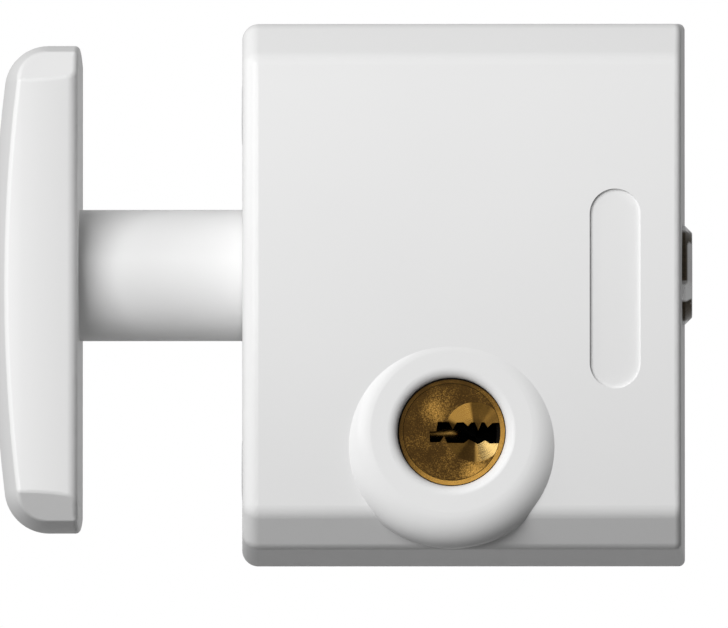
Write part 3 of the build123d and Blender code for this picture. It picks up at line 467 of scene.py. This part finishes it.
# %% Spring wire and bushes
wire = Finish("drawn_spring_wire")
wire_scale = wire.noise(1500.0, detail=3.0)
spring_wire = wire.surface({
    "Base Color": wire.between(wire_scale, (0.20, 0.20, 0.21, 1.0), (0.36, 0.36, 0.37, 1.0)),
    "Metallic": 1.0,
    "Roughness": wire.step(wire_scale, 0.3, 0.7, 0.28, 0.42),
    "Normal": wire.bump(wire_scale, 0.003 * MM, 0.5),
})
acetal = Finish("moulded_acetal")
cloud = acetal.noise(220.0)
bush_acetal = acetal.surface({
    "Base Color": acetal.between(cloud, (0.70, 0.68, 0.62, 1.0), (0.76, 0.74, 0.69, 1.0)),
    "Roughness": acetal.step(cloud, 0.3, 0.7, 0.38, 0.5),
    "Normal": acetal.bump(cloud, 0.006 * MM, 0.4),
})

# %% [markdown]
# The record names a material slot for each piece, and each slot has one finish. Two pieces differ
# from the rest of their slot, so they are listed by name.

# %% Finishes on the frame's pieces
finishes = {
    "white_paint": white_paint,
    "brass": turned_brass,
    "bright_steel": bright_steel,
    "zinc_steel": zinc_plate,
    "spring_steel": spring_wire,
    "bush_plastic": bush_acetal,
}
own_finishes = {
    "key_pins": rubbed_pins,
    "cover_screws": lacquered_screws,
}
for entry in frame["record"]["subparts"]:
    piece = nodes[entry["node"]]
    piece.data.materials.clear()
    piece.data.materials.append(own_finishes.get(entry["node"], finishes[entry["material_slot"]]))
print("finished", len(nodes), "pieces of the frame")

# %% [markdown]
# The frame draws each spring's wire as a prism, to stay light. On the real lock the wire is round.
# A curve with a bevel could draw it, but a small circle and a Screw modifier do the same in two
# steps: the modifier turns the circle round the coil's axis while it moves it along, and the
# result stays an ordinary mesh. Last, the two open ends of the wire are closed.


# %% Round wire
def wire_coil(name, start, end, coil_radius, wire_radius, turns, steps, sides):
    """A coil along X whose wire's middle runs from start to end, with steps in each turn."""
    bpy.ops.object.select_all(action="DESELECT")
    bpy.ops.mesh.primitive_circle_add(vertices=sides, radius=wire_radius, location=(0.0, coil_radius, 0.0))
    coil = bpy.context.object
    coil.name = name
    bpy.ops.object.transform_apply(location=True, rotation=True)
    turning = coil.modifiers.new("turns", "SCREW")
    turning.axis = "X"
    turning.angle = tau * turns
    turning.screw_offset = end.x - start.x
    turning.steps = turning.render_steps = round(steps * turns)
    bpy.ops.object.modifier_apply(modifier=turning.name)
    bpy.ops.object.mode_set(mode="EDIT")
    bpy.ops.mesh.select_all(action="DESELECT")
    bpy.ops.mesh.select_non_manifold()
    bpy.ops.mesh.edge_face_add()
    bpy.ops.mesh.select_all(action="SELECT")
    bpy.ops.mesh.normals_make_consistent(inside=False)
    bpy.ops.object.mode_set(mode="OBJECT")
    coil.location = start
    bpy.ops.object.transform_apply(location=True)
    bpy.ops.object.shade_smooth_by_angle(angle=radians(50))
    print(name, "has", len(coil.data.polygons), "faces in", turns, "turns")
    return coil


# %% [markdown]
# The return spring lies round the bolt, between the shank and its washer, and pushes the handle
# back out. When the bolt is thrown, a real coil gets shorter and its wire tilts. Here the coil is
# drawn at one length, from the spring's end to the washer. It is a stand-in, and the closed case
# hides it.

# %% Return spring
spring_low, spring_high = (Vector(corner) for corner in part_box("return_spring"))
washer_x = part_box("spring_washer")[0][0]
wire_radius = 0.45 * MM
coil_radius = (spring_high.z - spring_low.z) / 2 - wire_radius
spring_start = Vector((spring_low.x + wire_radius, bolt_axis.y, bolt_axis.z))
spring_end = Vector((washer_x - wire_radius, bolt_axis.y, bolt_axis.z))
spring = wire_coil(
    "round_return_spring", spring_start, spring_end, coil_radius, wire_radius, turns=5.5, steps=40, sides=14
)
spring.data.materials.append(finishes["spring_steel"])
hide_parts("return_spring")
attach(spring, "case")
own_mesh(spring)

# %% [markdown]
# The five small springs behind the driver pins are modelled once and copied. Each copy has its own
# mesh, and together they stand for the frame's node that holds all five.

# %% Pin springs
small_low, small_high = (Vector(corner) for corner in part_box("pin_springs"))
pin_count = 5
small_wire = 0.175 * MM
small_radius = (small_high.z - small_low.z) / 2 - small_wire
pin_pitch = (small_high.y - small_low.y - 2 * (small_radius + small_wire)) / (pin_count - 1)
first_pin_y = small_low.y + small_radius + small_wire
small_start = Vector((small_low.x + small_wire, first_pin_y, key_axis.z))
small_end = Vector((small_high.x - small_wire, first_pin_y, key_axis.z))
pin_springs = [
    wire_coil("pin_spring_1", small_start, small_end, small_radius, small_wire, turns=6, steps=20, sides=8)
]
for number in range(1, pin_count):
    copy = pin_springs[0].copy()
    copy.data = pin_springs[0].data.copy()
    copy.name = f"pin_spring_{number + 1}"
    bpy.context.collection.objects.link(copy)
    for vertex in copy.data.vertices:
        vertex.co.y += number * pin_pitch
    pin_springs.append(copy)
for piece in pin_springs:
    piece.data.materials.append(finishes["spring_steel"])
    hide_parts("pin_springs")
    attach(piece, "case")
print("pin springs", len(pin_springs), "at a pitch of", round(pin_pitch / MM, 2), "mm")

# %% [markdown]
# The lock hangs on a window, so nothing stands on the floor. The floor is a plain pale sheet well
# below it, and no wider than a metre, so that a view from below looks past it. To the camera it is
# pale, but to the lock it is dark: a white floor would light the lock's underside as strongly as a
# lamp does, and the photograph shows dark undersides.

# %% Floor
FLOOR_SEEN = grey(0.8)
FLOOR_TO_LOCK = grey(0.12)
floor_size = 1.0
floor_drop = 0.45
case_low = Vector(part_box("housing")[0])
bpy.ops.object.select_all(action="DESELECT")
bpy.ops.mesh.primitive_plane_add(size=floor_size, location=(0.0, 0.0, case_low.z - floor_drop))
floor = bpy.context.object
floor.name = "floor"
floor_paint = Finish("pale_floor")
seen = (
    floor_paint.node("LightPath", output="Is Camera Ray")
    + floor_paint.node("LightPath", output="Is Glossy Ray")
    + floor_paint.node("LightPath", output="Is Transmission Ray")
)
pale_floor = floor_paint.surface({
    "Base Color": floor_paint.between(seen, FLOOR_TO_LOCK, FLOOR_SEEN),
    "Roughness": 0.8,
})
floor.data.materials.append(pale_floor)
print("the floor lies", floor_drop, "m below the case")

# %% [markdown]
# The world is white where the camera looks at it. Steel and brass show a dimmed share of it, since
# at full strength it would wash their colours out. Its share in lighting the lock is weaker still,
# so the lamps shape the lock. A Mix Shader chooses between the two strengths by the kind of ray
# that asks.

# %% World
MIRRORED_SHARE = 0.45
FILL_STRENGTH = 0.125
world = bpy.data.worlds.new("studio")
bpy.context.scene.world = world
world.use_nodes = True
sky = NodeTree(world.node_tree)
sky.tree.nodes.remove(sky.tree.nodes["Background"])
mirrored = sky.node("LightPath", output="Is Glossy Ray") + sky.node("LightPath", output="Is Transmission Ray")
shown = sky.node("LightPath", output="Is Camera Ray") + mirrored * MIRRORED_SHARE
fill = sky.node("Background", {"Color": grey(1.0), "Strength": FILL_STRENGTH})
backdrop = sky.node("Background", {"Color": grey(1.0), "Strength": 1.0})
choice = sky.node("MixShader", {0: shown, 1: fill, 2: backdrop})
sky.feed(sky.tree.nodes["World Output"].inputs["Surface"], choice)
print("the world takes", len(sky.tree.nodes), "nodes")

# %% [markdown]
# In the photograph the light comes from the upper left and the front: the case's lower slope, the
# shank's underside and the push plate's inner side are dark. A large panel stands there, so that
# its edges give soft highlights. A smaller box further left lifts the left bevels. A third lamp
# lights the back, which the photograph doesn't show but other views do, and it is hidden from
# glossy rays, so that it doesn't show in the bolt.

# %% Lamps
middle = (Vector(frame_box[0]) + Vector(frame_box[1])) / 2


def around(azimuth, elevation, reach):
    """A place that far from the lock: azimuth 0 is in front of it and 90 is to its left."""
    a, e = radians(azimuth), radians(elevation)
    return middle + reach * Vector((-sin(a) * cos(e), -cos(a) * cos(e), sin(e)))


def softbox(name, place, width, height, power):
    """A rectangular lamp at place that faces the lock. Its power is in watts."""
    bpy.ops.object.light_add(type="AREA", location=place)
    lamp = bpy.context.object
    lamp.name = name
    lamp.data.shape = "RECTANGLE"
    lamp.data.size = width
    lamp.data.size_y = height
    lamp.data.energy = power
    lamp.rotation_mode = "QUATERNION"
    lamp.rotation_quaternion = (middle - place).to_track_quat("-Z", "Y")
    print(name, "gives", power, "W from", round((place - middle).length, 2), "m")
    return lamp


softbox("front_panel", around(26, 17, 1.2), 0.8, 0.9, 15.0)
softbox("left_box", around(75, 22, 1.1), 0.6, 0.6, 2.6)
back_panel = softbox("back_panel", around(190, 30, 1.3), 1.2, 1.2, 5.0)
back_panel.visible_glossy = False

# %% [markdown]
# The photograph was taken from far off with a long lens, from a little below the lock and a
# little to its right, so the camera stands there and the lens is as long as that distance needs.

# %% Camera
PIXELS_PER_MM = 8.15
IMAGE_WIDTH = 728
IMAGE_HEIGHT = 628
distance = 2.5
yaw = radians(0.7)
pitch = radians(2.2)
origin_x, origin_y = 463.5, 295.1  # where the frame's origin falls in the picture
view_centre = MM / PIXELS_PER_MM * Vector((IMAGE_WIDTH / 2 - origin_x, 0.0, origin_y - IMAGE_HEIGHT / 2))
toward_camera = Vector((sin(yaw) * cos(pitch), -cos(yaw) * cos(pitch), -sin(pitch)))
bpy.ops.object.camera_add(location=view_centre + toward_camera * distance)
camera = bpy.context.object
camera.rotation_mode = "QUATERNION"
camera.rotation_quaternion = (-toward_camera).to_track_quat("-Z", "Y")
view_width = IMAGE_WIDTH / PIXELS_PER_MM * MM
camera.data.lens = camera.data.sensor_width * distance / view_width
camera.data.clip_end = 10.0
bpy.context.scene.camera = camera
bpy.context.scene.view_settings.view_transform = "Standard"
print("lens", round(camera.data.lens), "mm")
